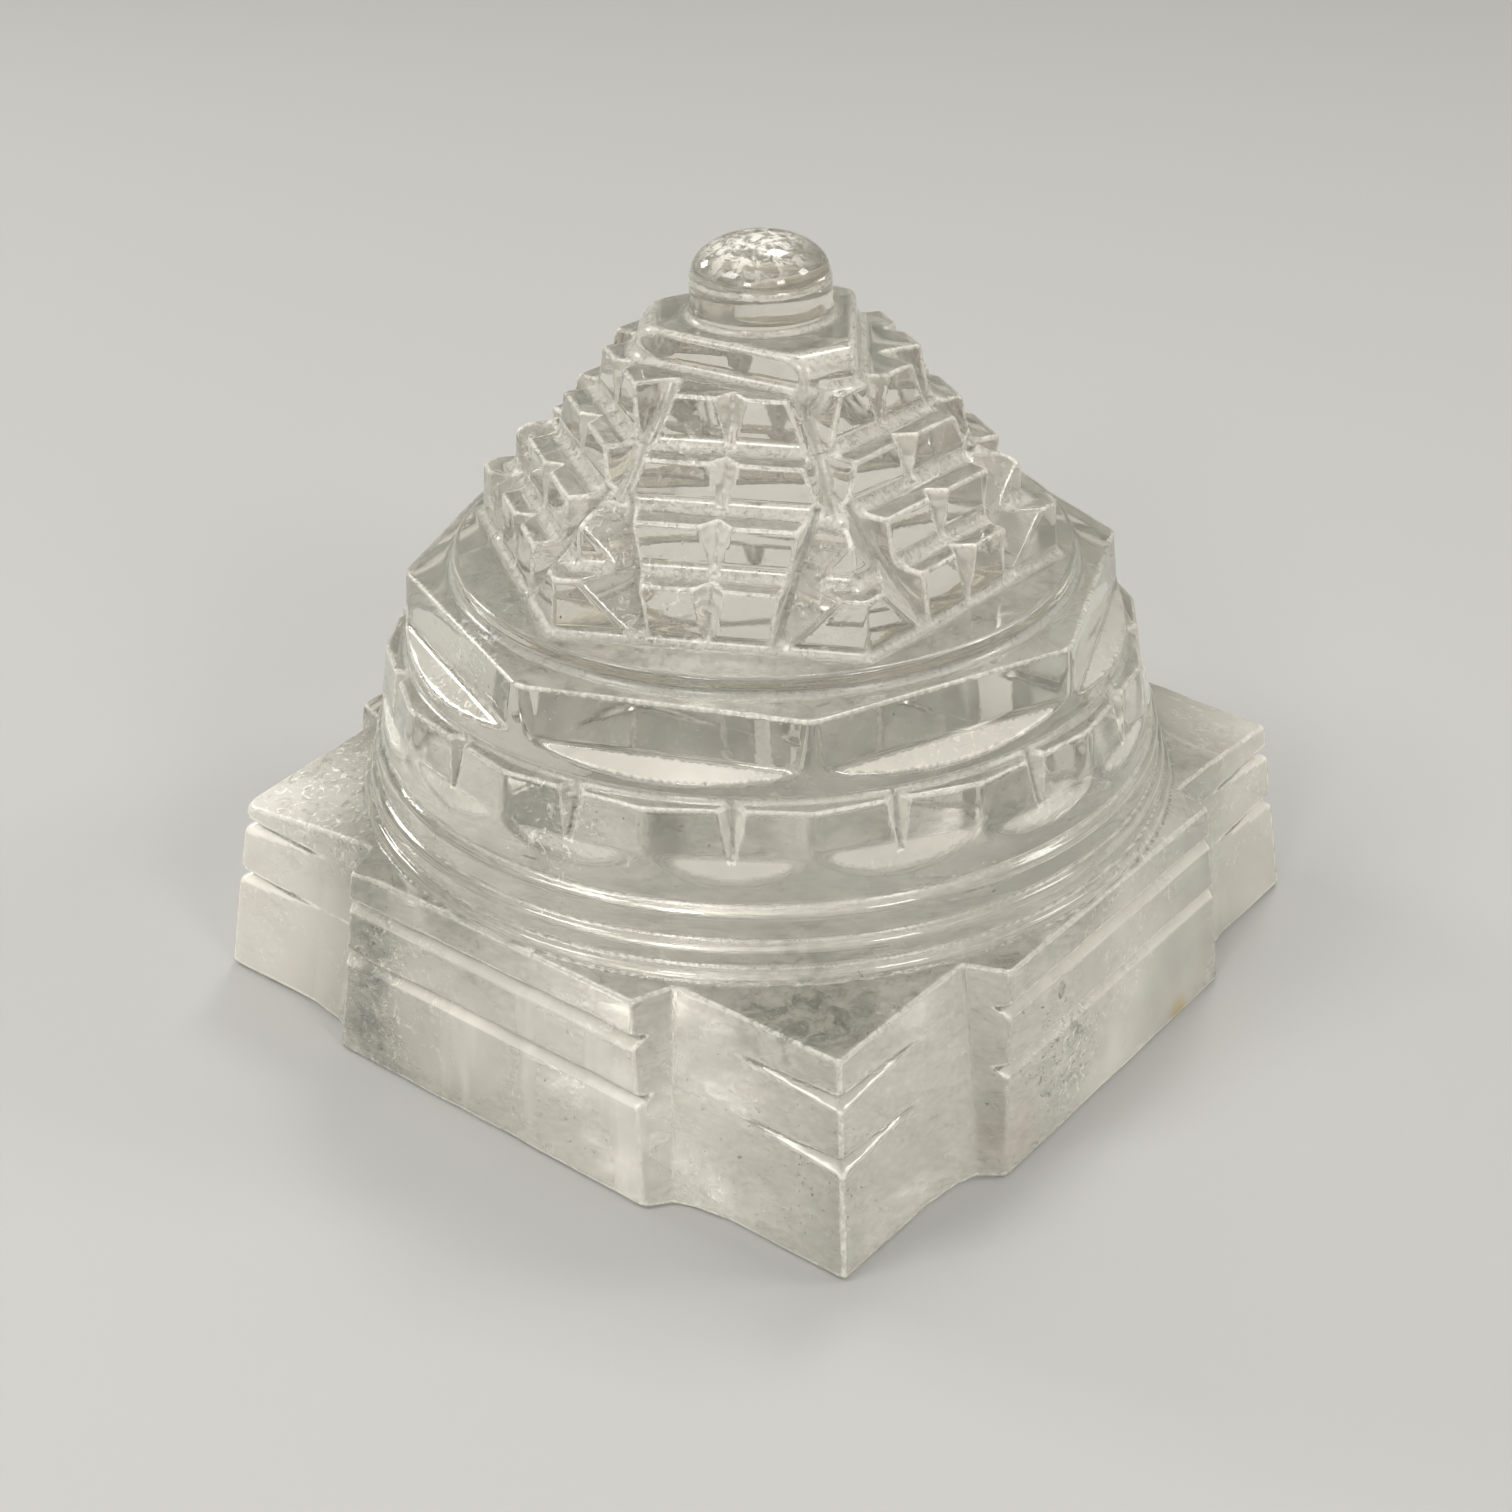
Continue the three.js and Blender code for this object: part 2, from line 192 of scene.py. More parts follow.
def vee(out, side, z, low, high, half_angle, bow, root=ROOT):
    """A V cut seen in its own upright plane: its root runs from low to high, each (distance out, height)."""
    along = np.array([high[0] - low[0], high[1] - low[1]])
    length = math.hypot(*along)
    along /= length
    dx, dz = out - low[0], z - low[1]
    t = dx * along[0] + dz * along[1]
    open_ = dx * along[1] - dz * along[0] + bow * (1.0 - (2.0 * t / length - 1.0) ** 2)
    h = math.radians(half_angle)
    wedge = (np.hypot(side, root) - root) * math.cos(h) - open_ * math.sin(h)
    return np.maximum(wedge, np.maximum(-t, t - length))


def nearest_turns(x, y, first, step, tilt):
    """The points turned into the frames of the three nearest of the places at first + i * step degrees."""
    count = int(round(360.0 / step))
    nearest = np.floor((np.degrees(np.arctan2(y, x)) - first) / step + 0.5).astype(int)
    for offset in (-1, 0, 1):
        i = (nearest + offset) % count
        a = np.radians(first + step * i + tilt[i])
        c, s = np.cos(a), np.sin(a)
        yield i, c * x + s * y, c * y - s * x


def bhupura(x, y, z):
    t = np.clip(z / BASE_HEIGHT, 0.0, 1.0)
    out = 1 - WIDE_LEFT * rises(-x - y, WIDENS)
    x, y = x * out, y * out
    corner, gate = lerp(CORNER_HALF, t), lerp(GATE_HALF, t)
    gate_end, root, root_out = lerp(GATE_END, t), lerp(NOTCH_SIDE, t), lerp(NOTCH_OUT, t)
    lap = (root_out + corner) / 2
    f = None
    for u, v in ((x, -y), (y, x), (-x, y), (-y, -x)):
        u = np.abs(u)
        start = corner - GROOVE_FADE
        face = corner + (lap - corner) * np.clip((start - u) / (start - root - NOTCH_LAP), 0, 1)
        face = face + (root_out - lap) * np.clip((root + NOTCH_LAP - u) / NOTCH_LAP, 0, 1)
        wall = v - face
        along, out = root - gate_end, gate - root_out
        end = ((u - gate_end) * out + (v - gate) * along) / np.hypot(out, along)
        block = soft_max(v - gate, end, EDGE)
        for height in GROOVE_HEIGHTS:
            run_out = np.clip((u - start) / GROOVE_FADE, 0, 1.2) ** 0.75
            deep = CORNER_GROOVE_DEPTH * run_out - CORNER_GROOVE_RISE
            q = z - height
            for which in (0, 1):
                p = v - (face - deep) if which == 0 else v - (gate - GROOVE_DEPTH)
                low = (-q * GROOVE_DEPTH - p * GROOVE_BELOW) / math.hypot(GROOVE_DEPTH, GROOVE_BELOW)
                high = (q * GROOVE_DEPTH - p * GROOVE_ABOVE) / math.hypot(GROOVE_DEPTH, GROOVE_ABOVE)
                cut = soft_max(low, high, 0.1)
                if which == 0:
                    wall = soft_max(wall, -cut, 0.14)
                else:
                    block = soft_max(block, -cut, 0.14)
        side = soft_min(wall, block, 0.2)
        f = side if f is None else soft_max(f, side, EDGE)
    left, right = rises(-x - y, LOWERS_LEFT), rises(x + y, LOWERS_RIGHT)
    f = soft_max(f, z - BASE_HEIGHT + LOW_LEFT * left + LOW_RIGHT * right, EDGE)
    f = soft_max(f, (-x - y) / math.sqrt(2) - lerp(LEFT_CORNER, t), 0.6)
    return soft_max(f, -z, FOOT_EDGE)


def mekhala(r, z):
    f = None
    for top, radius in GIRDLES:
        ring = round_max(r - radius, z - top, SHOULDER)
        f = ring if f is None else soft_min(f, ring, 0.2)
    return np.maximum(f, BASE_HEIGHT - MEKHALA_SUNK - z)


PETAL_TILT = random.uniform(-0.5, 0.5, 16)
PETAL_DEPTH = random.uniform(-0.04, 0.16, 16)
NO_TILT = np.zeros(16)


def lotus(x, y, z, r, spec, notched):
    foot, top, lean, floor, slope = (spec[key] for key in ("foot", "top", "lean", "floor", "slope"))
    f = r - (spec["radius"] - lean * (z - foot) / (top - foot))
    f = np.maximum(f, foot - LOTUS_SUNK - z)
    step = 360.0 / spec["count"]
    flat = spec["radius"] * math.cos(math.radians(step / 2)) + spec["set"]
    for i, out, side in nearest_turns(x, y, step / 2, step, PETAL_TILT):
        wall = flat + PETAL_DEPTH[i] - lean * (z - floor) / (top - floor) - out
        bed = (floor - z - (out - flat) * slope) / math.hypot(1.0, slope)
        f = soft_max(f, -round_max(wall, bed, spec["scoop"]), EDGE)
        if notched:
            for cut in petal_cuts(out, side, z):
                f = soft_max(f, -cut, CUT_EDGE)
    return soft_max(f, z - top, EDGE)


def petal_cuts(out, side, z):
    """The V cut between two of the sixteen petals."""
    flat = SIXTEEN["radius"] * math.cos(math.pi / SIXTEEN["count"]) + SIXTEEN["set"]
    low = (flat + PETAL_CUT_LOW[0], PETAL_CUT_LOW[1])
    high = (flat + PETAL_CUT_HIGH[0], PETAL_CUT_HIGH[1])
    yield vee(out, side, z, low, high, PETAL_HALF_ANGLE, PETAL_BOW)


def plinth(r, z):
    """The round step under the triangle tiers."""
    return np.maximum(round_max(r - PLINTH_RADIUS, z - PLINTH_TOP, PLINTH_EDGE), PLINTH_FOOT - z)


def side_cuts(out, side, z):
    """The V cuts that part the two triangles on a side of each triangle tier."""
    for inradius, foot, top in zip(TIER_INRADII, TIER_LEVELS, TIER_LEVELS[1:]):
        low = (inradius + SIDE_CUT_LOW[0], foot + SIDE_CUT_LOW[1])
        high = (inradius + SIDE_CUT_HIGH[0], top + SIDE_CUT_HIGH[1])
        yield vee(out, side, z, low, high, SIDE_HALF_ANGLE, SIDE_BOW)


def corner_radius(inradius):
    return inradius / math.cos(math.radians(30))


def triangle_tiers(x, y, z):
    sides = [turned[1:] for turned in nearest_turns(x, y, TIER_TURN, 60.0, NO_TILT)]
    corners = [turned[1:] for turned in nearest_turns(x, y, TIER_TURN + 30.0, 60.0, NO_TILT)]
    f = np.full(len(x), FAR)
    for inradius, foot, top in zip(TIER_INRADII, TIER_LEVELS, TIER_LEVELS[1:]):
        tier = soft_max(z - top, foot - SUNK - z, EDGE)
        for out, side in sides:
            tier = soft_max(tier, out - (inradius - TIER_LEAN * (z - foot) / (top - foot)), EDGE)
        f = soft_min(f, tier, COVE)
    inradii = (*TIER_INRADII, PLATE_SEAT)
    for level in (2, 3):                      # the two upper tiers
        low = (corner_radius(inradii[level]) - CORNER_DEPTH, TIER_LEVELS[level] - CORNER_BELOW)
        high = (corner_radius(inradii[level + 1]) - CORNER_DEPTH, TIER_LEVELS[level + 1] + CORNER_ABOVE)
        for out, side in corners:
            cut = vee(out, side, z, low, high, CORNER_HALF_ANGLE, WIDE_BOW, CORNER_ROOT)
            f = soft_max(f, -cut, WIDE_CUT_EDGE)
    for out, side in sides:
        for cut in side_cuts(out, side, z):
            f = soft_max(f, -cut, CUT_EDGE)
    for out, side in corners:
        for cut in leg_cuts(out, side, z):
            f = soft_max(f, -cut, WIDE_CUT_EDGE)
    return f


def leg_cuts(out, side, z):
    """The two V cuts that part from each corner of the triangle tiers on the way down."""
    low_r = TIER_INRADII[0] / math.cos(math.radians(30 - LEG_SPREAD_LOW))
    high_r = TIER_INRADII[2] / math.cos(math.radians(30 - LEG_SPREAD_HIGH)) - CORNER_DEPTH / 2
    low, high = math.radians(LEG_SPREAD_LOW), math.radians(LEG_SPREAD_HIGH)
    for hand in (-1, 1):
        start = (low_r * math.cos(low), hand * low_r * math.sin(low), TIER_LEVELS[0] - LEG_BELOW)
        end = (high_r * math.cos(high), hand * high_r * math.sin(high), TIER_LEVELS[2] + LEG_ABOVE)
        yield vee3(out, side, z, start, end, LEG_HALF_ANGLE, WIDE_BOW, LEG_ROOT)


def vee3(x, y, z, low, high, half_angle, bow, root):
    """A V cut between two points, opening away from the axis."""
    start, end = np.array(low), np.array(high)
    along = end - start
    length = np.linalg.norm(along)
    along /= length
    radial = np.array([start[0] + end[0], start[1] + end[1], 0.0])
    radial /= np.linalg.norm(radial)
    across = np.cross(along, radial)
    across /= np.linalg.norm(across)
    out = np.cross(across, along)
    dx, dy, dz = x - start[0], y - start[1], z - start[2]
    t = dx * along[0] + dy * along[1] + dz * along[2]
    side = dx * across[0] + dy * across[1] + dz * across[2]
    open_ = dx * out[0] + dy * out[1] + dz * out[2] + bow * (1.0 - (2.0 * t / length - 1.0) ** 2)
    h = math.radians(half_angle)
    wedge = (np.hypot(side, root) - root) * math.cos(h) - open_ * math.sin(h)
    return np.maximum(wedge, np.maximum(-t, t - length))


def plate(x, y, z):
    f = soft_max(z - PLATE_TOP, TIER_LEVELS[-1] - SUNK - z, 0.3)
    for i, corner in enumerate(PLATE_CORNERS):
        direction = 120.0 * i - 30 + PLATE_TURN
        opposite_side, _ = turn(x, y, direction + 180)
        f = soft_max(f, opposite_side - PLATE_INRADIUS - PLATE_LEAN * (PLATE_TOP - z), 0.5)
        towards_corner, _ = turn(x, y, direction)
        f = soft_max(f, towards_corner - corner - PLATE_LEAN * (PLATE_TOP - z), PLATE_BLUNT)
    return f


def bindu(z, r):
    stem = soft_max(r - BINDU_RADIUS, z - BINDU_RIM, 0.3)
    radius, height = BINDU_RADIUS - 0.12, BINDU_TOP - BINDU_RIM
    out, rise = r / radius, np.maximum(z - BINDU_RIM, 0.0) / height
    steep = np.hypot(DOME_POWER / radius * out ** (DOME_POWER - 1), 2 / height * rise)
    dome = (out ** DOME_POWER + rise ** 2 - 1) / np.maximum(steep, 0.3)
    f = soft_min(stem, np.maximum(dome, BINDU_RIM - SUNK - z), SEAT)
    return np.maximum(f, PLATE_TOP - SUNK - z)


WAVES = random.normal(0, 1, (9, 3))
WAVES *= (np.linspace(0.35, 1.6, 9) / np.linalg.norm(WAVES, axis=1))[:, None]
PHASES = random.uniform(0, 2 * math.pi, 9)


def stone(p):
    """Distance from points p (n, 3) to the stone's surface, negative inside."""
    x, y, z = p[:, 0], p[:, 1], p[:, 2]
    r = np.hypot(x, y)
    f = np.full(len(p), FAR)

    def join(formula, low, high, soft):
        """Adds the tier between two heights, with the softness of the inner corner at its foot."""
        near = (z > low - WINDOW) & (z < high + WINDOW)
        if near.any():
            f[near] = soft_min(f[near], formula(x[near], y[near], z[near], r[near]), soft)

    join(lambda x, y, z, r: bhupura(x, y, z), 0, BASE_HEIGHT, SEAT)
    join(lambda x, y, z, r: mekhala(r, z), BASE_HEIGHT, SIXTEEN["foot"], SEAT)
    join(lambda x, y, z, r: lotus(x, y, z, r, SIXTEEN, True), SIXTEEN["foot"], SIXTEEN["top"], 0.3)
    join(lambda x, y, z, r: lotus(x, y, z, r, EIGHT, False), EIGHT["foot"], EIGHT["top"], 0.5)
    join(lambda x, y, z, r: plinth(r, z), EIGHT["top"], PLINTH_TOP, 0.6)
    join(lambda x, y, z, r: triangle_tiers(x, y, z), TIER_LEVELS[0], TIER_LEVELS[-1], 0.8)
    join(lambda x, y, z, r: plate(x, y, z), TIER_LEVELS[-1], PLATE_TOP, 0.8)
    join(lambda x, y, z, r: bindu(z, r), PLATE_TOP, BINDU_TOP, BINDU_FILLET)
    ripple = np.sin(p @ WAVES.T + PHASES).sum(axis=1)
    return f + RIPPLE * ripple + SKIN


# Meshing
def slopes(p):
    """The distance at points, and which way and how fast it grows there."""
    step = 0.02
    here = stone(p)
    g = np.empty_like(p)
    for axis in range(3):
        shift = np.zeros(3)
        shift[axis] = step
        g[:, axis] = (stone(p + shift) - here) / step
    return here, g


def sample(h):
    """The distance to the stone on a grid with spacing h. Cubes of points far from it have only a sign."""
    size = np.ceil((GRID_SIZE / h) / BLOCK).astype(int) * BLOCK
    blocks = size // BLOCK
    index = np.stack(np.meshgrid(*[np.arange(n) for n in blocks], indexing="ij"), -1).reshape(-1, 3)
    value = stone(GRID_LOW + (index + 0.5) * BLOCK * h)
    reach = 0.5 * math.sqrt(3) * BLOCK * h * 1.35 + 0.6
    near = np.abs(value) < reach
    grid = np.empty(size + 1, np.float32)
    far = np.sign(value).astype(np.float32).reshape(blocks)
    grid[:-1, :-1, :-1] = np.repeat(np.repeat(np.repeat(far, BLOCK, 0), BLOCK, 1), BLOCK, 2)
    grid[-1], grid[:, -1], grid[:, :, -1] = 1.0, 1.0, 1.0
    offsets = np.stack(np.meshgrid(*[np.arange(BLOCK + 1)] * 3, indexing="ij"), -1).reshape(-1, 3)
    picked = index[near]
    for start in range(0, len(picked), BATCH):
        part = picked[start:start + BATCH]
        cells = (part[:, None, :] * BLOCK + offsets[None]).reshape(-1, 3)
        grid[cells[:, 0], cells[:, 1], cells[:, 2]] = stone(GRID_LOW + cells * h)
    return grid


def crossed_cells(grid):
    """A number for each cell that the surface crosses, and the mean of the surface's places on its edges."""
    size = np.array(grid.shape) - 1
    inside = grid < 0
    corners = np.zeros(size, np.uint8)
    for dx in (0, 1):
        for dy in (0, 1):
            for dz in (0, 1):
                corners += inside[dx:dx + size[0], dy:dy + size[1], dz:dz + size[2]]
    active = (corners > 0) & (corners < 8)
    cell = np.argwhere(active)
    number = np.full(size, -1, np.int64)
    number[active] = np.arange(len(cell))
    total = np.zeros((len(cell), 3))
    hits = np.zeros(len(cell))
    for axis in range(3):
        others = [a for a in range(3) if a != axis]
        for a in (0, 1):
            for b in (0, 1):
                start = cell.copy()
                start[:, others[0]] += a
                start[:, others[1]] += b
                end = start.copy()
                end[:, axis] += 1
                f0 = grid[start[:, 0], start[:, 1], start[:, 2]].astype(float)
                f1 = grid[end[:, 0], end[:, 1], end[:, 2]].astype(float)
                cross = (f0 < 0) != (f1 < 0)
                t = np.where(cross, f0 / np.where(cross, f0 - f1, 1.0), 0.0)
                point = start.astype(float)
                point[:, axis] += t
                total += point * cross[:, None]
                hits += cross
    return number, total / hits[:, None]


def quads_between(grid, number):
    """A quad across each grid edge that the surface crosses, with its front outwards."""
    size = number.shape
    inside = grid < 0
    faces = []
    for axis in range(3):
        a, b = (axis + 1) % 3, (axis + 2) % 3
        lower = [slice(0, size[0]), slice(0, size[1]), slice(0, size[2])]
        lower[a] = slice(1, size[a])
        lower[b] = slice(1, size[b])
        upper = list(lower)
        upper[axis] = slice(1, size[axis] + 1)
        f0, f1 = inside[tuple(lower)], inside[tuple(upper)]
        base = np.argwhere(f0 != f1)
        outward = f0[tuple(base.T)]
        base[:, a] += 1
        base[:, b] += 1
        quad = []
        for da, db in ((-1, -1), (0, -1), (0, 0), (-1, 0)):
            c = base.copy()
            c[:, a] += da
            c[:, b] += db
            quad.append(number[c[:, 0], c[:, 1], c[:, 2]])
        quad = np.stack(quad, 1)
        faces.append(np.where(outward[:, None], quad, quad[:, ::-1]))
    return np.concatenate(faces)


def settle(vertices, h):
    """Moves vertices along the slope onto the surface."""
    for _ in range(2):
        f, g = slopes(vertices)
        move = -f[:, None] * g / np.maximum((g * g).sum(1), 0.05)[:, None]
        vertices = vertices + np.clip(move, -0.5 * h, 0.5 * h)
    return vertices


def wear_and_shade_masks(vertices, normals):
    """How near a vertex is to a cut edge and to an inner corner, and how far it is ground, each from 0 to 1.
    The inner-corner value is used as painted shade in the creases.
    """
    edge = np.clip(stone(vertices - normals * WEAR_AND_SHADE_REACH) / WEAR_AND_SHADE_REACH + 1, 0, 1)
    # nearness to an inner corner, used to darken the stone there as painted shade
    crease_shade = np.clip(1 - stone(vertices + normals * WEAR_AND_SHADE_REACH) / WEAR_AND_SHADE_REACH, 0, 1)
    z, up = vertices[:, 2], normals[:, 2]
    r = np.hypot(vertices[:, 0], vertices[:, 1])
    # the scooped beds of the petals and the lower sides of the grooves
    ground = band(z, 19.8, 22.4, 0.15) * band(up, 0.25, 0.85, 0.05) * (r > 24.5) * (r < 27)
    ground = np.maximum(ground, band(z, 25.4, 27.4, 0.15) * band(up, 0.72, 0.975, 0.02))
    for height in GROOVE_HEIGHTS:
        ground = np.maximum(ground, 0.8 * band(z, height - 1.1, height - 0.1, 0.1) * band(up, 0.35, 0.95, 0.1))
    # the V cuts
    for cuts, low, high, first, step, tilt, amount in (
            (leg_cuts, 31.8, 41.2, TIER_TURN + 30.0, 60.0, NO_TILT, 0.45),
            (side_cuts, 31.6, 44.6, TIER_TURN, 60.0, NO_TILT, 0.75),
            (petal_cuts, 21.5, 24.9, 11.25, 22.5, PETAL_TILT, 0.7)):
        on = (z > low) & (z < high)
        turned = nearest_turns(vertices[on, 0], vertices[on, 1], first, step, tilt)
        nearest = np.min([np.abs(cut) for _i, out, side in turned for cut in cuts(out, side, z[on])], axis=0)
        ground[on] = np.maximum(ground[on], amount * np.clip((GROUND_WITHIN - nearest) / GROUND_FADE, 0, 1))
    return edge, crease_shade * np.where(z > TIERS_FROM, TIER_CREASE_SHADE, 1.0), ground


def mesh_stone(h):
    """Meshes the zero level of stone() with one vertex in each cell that the surface crosses.

    Each row of the normals goes on with three masks there: edge wear, painted crease shade and ground facets.
    """
    grid = sample(h)
    number, middles = crossed_cells(grid)
    faces = quads_between(grid, number)
    vertices = settle(GRID_LOW + middles * h, h)
    g = slopes(vertices)[1]
    normals = g / np.maximum(np.linalg.norm(g, axis=1), 1e-6)[:, None]
    return vertices, np.column_stack([normals, *wear_and_shade_masks(vertices, normals)]), faces


def cut_at(vertices, normals, faces, level):
    """Cuts the triangles at a height.

    Gives the grown vertices and normals, the triangles below and above, and the rim.
    """
    z = vertices[:, 2] - level
    z = np.where(np.abs(z) < CUT_CLEARANCE, np.where(z < 0, -CUT_CLEARANCE, CUT_CLEARANCE), z)
    vertices = np.column_stack([vertices[:, :2], z + level])
    up = z > 0
    count = up[faces].sum(axis=1)
    below, above = [faces[count == 0]], [faces[count == 3]]
    mixed = faces[(count == 1) | (count == 2)]
    lone_up = up[mixed].sum(axis=1) == 1
    # turn each triangle so that its lone corner comes first
    is_lone = up[mixed] == lone_up[:, None]
    first = is_lone.argmax(axis=1)
    order = (first[:, None] + np.arange(3)[None]) % 3
    mixed = np.take_along_axis(mixed, order, axis=1)
    a, b, c = mixed.T
    edges = np.sort(np.concatenate([np.stack([a, b], 1), np.stack([a, c], 1)]), axis=1)
    unique, back = np.unique(edges, axis=0, return_inverse=True)
    back = back.reshape(-1)
    p, q = unique.T
    t = (z[p] / (z[p] - z[q]))[:, None]
    point = vertices[p] * (1 - t) + vertices[q] * t
    point[:, 2] = level
    normal = normals[p] * (1 - t) + normals[q] * t
    normal[:, :3] /= np.linalg.norm(normal[:, :3], axis=1)[:, None]
    ab = back[:len(a)] + len(vertices)
    ac = back[len(a):] + len(vertices)
    tip = np.stack([a, ab, ac], 1)
    rest = np.concatenate([np.stack([ab, b, c], 1), np.stack([ab, c, ac], 1)])
    both = np.concatenate([lone_up, lone_up])
    above += [tip[lone_up], rest[~both]]
    below += [tip[~lone_up], rest[both]]
    rim = np.where(lone_up[:, None], np.stack([ab, ac], 1), np.stack([ac, ab], 1))
    return (np.concatenate([vertices, point]), np.concatenate([normals, normal]),
            np.concatenate(below), np.concatenate(above), rim)


def compact(vertices, normals, faces):
    used, back = np.unique(faces, return_inverse=True)
    return vertices[used], normals[used], back.reshape(faces.shape)


def build_pieces(h):
    """The stone cut into one closed piece for each node, its outer triangles first, and how many those are."""
    vertices, normals, quads = mesh_stone(h)
    box_low, box_high = np.array(cad_box[0]) / MM, np.array(cad_box[1]) / MM
    vertices = np.clip(vertices, box_low, box_high)
    rest = np.concatenate([quads[:, [0, 1, 2]], quads[:, [0, 2, 3]]])
    pieces = []
    rim_below = None
    for i, name in enumerate(NAMES):
        if i + 1 < len(NAMES):
            level = CUT_LEVELS[i + 1]
            vertices, normals, below, rest, rim = cut_at(vertices, normals, rest, level)
        else:
            below, rim = rest, None
        parts = [below]
        grown_v, grown_n = vertices, normals
        for rim_, up, z in ((rim, 1.0, CUT_LEVELS[i + 1]), (rim_below, -1.0, CUT_LEVELS[i])):
            if rim_ is None:
                continue
            grown_v = np.concatenate([grown_v, [[0.0, 0.0, z]]])
            grown_n = np.concatenate([grown_n, [[0.0, 0.0, up] + [0.0] * (normals.shape[1] - 3)]])
            middle = np.full(len(rim_), len(grown_v) - 1)
            a, b = (rim_[:, 0], rim_[:, 1]) if up > 0 else (rim_[:, 1], rim_[:, 0])
            parts.append(np.stack([a, b, middle], 1))
        outer = len(below)
        v, n, f = compact(grown_v, grown_n, np.concatenate(parts))
        pieces.append((name, v, n, f, outer))
        rim_below = rim
    return pieces


# flecks and healed cracks in the stone: centre and spread in millimetres, how many, smallest and largest
# half width
FLECKS = (
    ((-10.3, -28.3, 6.0), (0.8, 0.5, 4.0), 280, 0.10, 0.34),     # left end of the left gate
    ((2.0, -27.8, 5.0), (5.0, 0.8, 3.0), 180, 0.06, 0.24),       # its middle
    ((-22.0, -21.0, 12.2), (3.5, 3.5, 0.7), 130, 0.08, 0.26),    # under the left corner's tread
    ((20.5, -20.5, 13.6), (3.0, 3.0, 0.4), 60, 0.08, 0.25),      # under the front corner's tread
    ((28.0, -5.5, 4.8), (0.7, 2.2, 2.6), 240, 0.08, 0.45),       # crack in the right gate
    ((27.6, -4.2, 5.0), (0.7, 1.8, 2.4), 16, 0.7, 1.6),
    ((23.0, -25.0, 4.5), (3.2, 1.0, 2.6), 130, 0.06, 0.28),      # front corner
    ((-14.0, -21.0, 17.0), (5.0, 4.0, 1.2), 170, 0.06, 0.22),    # left side of the rings
    ((-8.0, -21.5, 27.5), (4.5, 1.6, 1.6), 130, 0.06, 0.22),     # left front of the octagon
    ((-2.0, -14.5, 34.5), (5.0, 1.4, 2.0), 150, 0.06, 0.28),      # lower triangle tiers
    ((1.0, -10.0, 41.0), (4.0, 1.5, 2.0), 90, 0.05, 0.22),
    ((0.0, -1.0, 51.0), (1.6, 1.4, 0.25), 60, 0.10, 0.35),       # under the bindu's top
    ((0.0, 0.0, 14.0), (15.0, 15.0, 8.0), 320, 0.05, 0.22),      # anywhere
    ((0.0, 0.0, 30.0), (10.0, 10.0, 9.0), 260, 0.05, 0.20),
)
FLECK_SIDES = 6
FLECK_FLATNESS = 0.16


def build_flecks():
    """Small closed flat grains inside the stone: vertices, normals, triangles and centres' heights."""
    centres, sizes = [], []
    for place, spread, count, small, large in FLECKS:
        centres.append(np.array(place) + random.normal(0, 1, (count, 3)) * spread)
        sizes.append(small + (large - small) * random.uniform(0, 1, count) ** 2)
    centres, sizes = np.concatenate(centres), np.concatenate(sizes)
    keep = stone(centres) < -(1.2 * sizes + 0.1)
    for level in CUT_LEVELS[1:-1]:
        keep &= np.abs(centres[:, 2] - level) > 1.1 * sizes
    centres, sizes = centres[keep], sizes[keep]
    count = len(centres)
    axis = random.normal(0, 1, (count, 3))
    axis /= np.linalg.norm(axis, axis=1)[:, None]
    across = np.cross(axis, random.normal(0, 1, (count, 3)))
    across /= np.linalg.norm(across, axis=1)[:, None]
    along = np.cross(axis, across)
    uneven = random.uniform(-0.3, 0.3, (count, FLECK_SIDES))
    angle = (np.arange(FLECK_SIDES) + uneven) * 2 * math.pi / FLECK_SIDES
    reach = random.uniform(0.45, 1.0, (count, FLECK_SIDES)) * sizes[:, None]
    spoke = np.cos(angle)[..., None] * across[:, None] + np.sin(angle)[..., None] * along[:, None] * 0.6
    rim = centres[:, None] + spoke * reach[..., None]
    tip = (axis * sizes[:, None] * FLECK_FLATNESS)[:, None]
    v = np.concatenate([rim, centres[:, None] + tip, centres[:, None] - tip], axis=1)
    n = np.concatenate([spoke, axis[:, None], -axis[:, None]], axis=1)
    n /= np.linalg.norm(n, axis=2)[..., None]
    k = np.arange(FLECK_SIDES)
    after = (k + 1) % FLECK_SIDES
    one = np.concatenate([np.stack([k, after, np.full_like(k, FLECK_SIDES)], 1),
                          np.stack([after, k, np.full_like(k, FLECK_SIDES + 1)], 1)])
    f = one[None] + (np.arange(count) * (FLECK_SIDES + 2))[:, None, None]
    return v, n, f, centres[:, 2]


def make_mesh(name, v, n, f):
    mesh = bpy.data.meshes.new(name)
    mesh.vertices.add(len(v))
    mesh.vertices.foreach_set("co", (v * MM).astype(np.float32).ravel())
    mesh.loops.add(f.size)
    mesh.loops.foreach_set("vertex_index", f.astype(np.int32).ravel())
    mesh.polygons.add(len(f))
    mesh.polygons.foreach_set("loop_start", np.arange(0, f.size, 3, dtype=np.int32))
    mesh.update(calc_edges=True)
    mesh.polygons.foreach_set("use_smooth", np.ones(len(f), bool))
    exact = mesh.attributes.new("custom_normal", "FLOAT_VECTOR", "POINT")
    exact.data.foreach_set("vector", n[:, :3].astype(np.float32).ravel())
    # column 4 is the painted shade in the creases
    for column, mask in ((3, "edge"), (4, "crease_shade"), (5, "scoop")):
        attribute = mesh.attributes.new(mask, "FLOAT", "POINT")
        attribute.data.foreach_set("value", n[:, column].astype(np.float32))
    return mesh


# Materials
def nodes_of(name):
    material = bpy.data.materials.new(name)
    material.use_nodes = True
    tree = material.node_tree
    return material, tree, tree.nodes["Principled BSDF"]


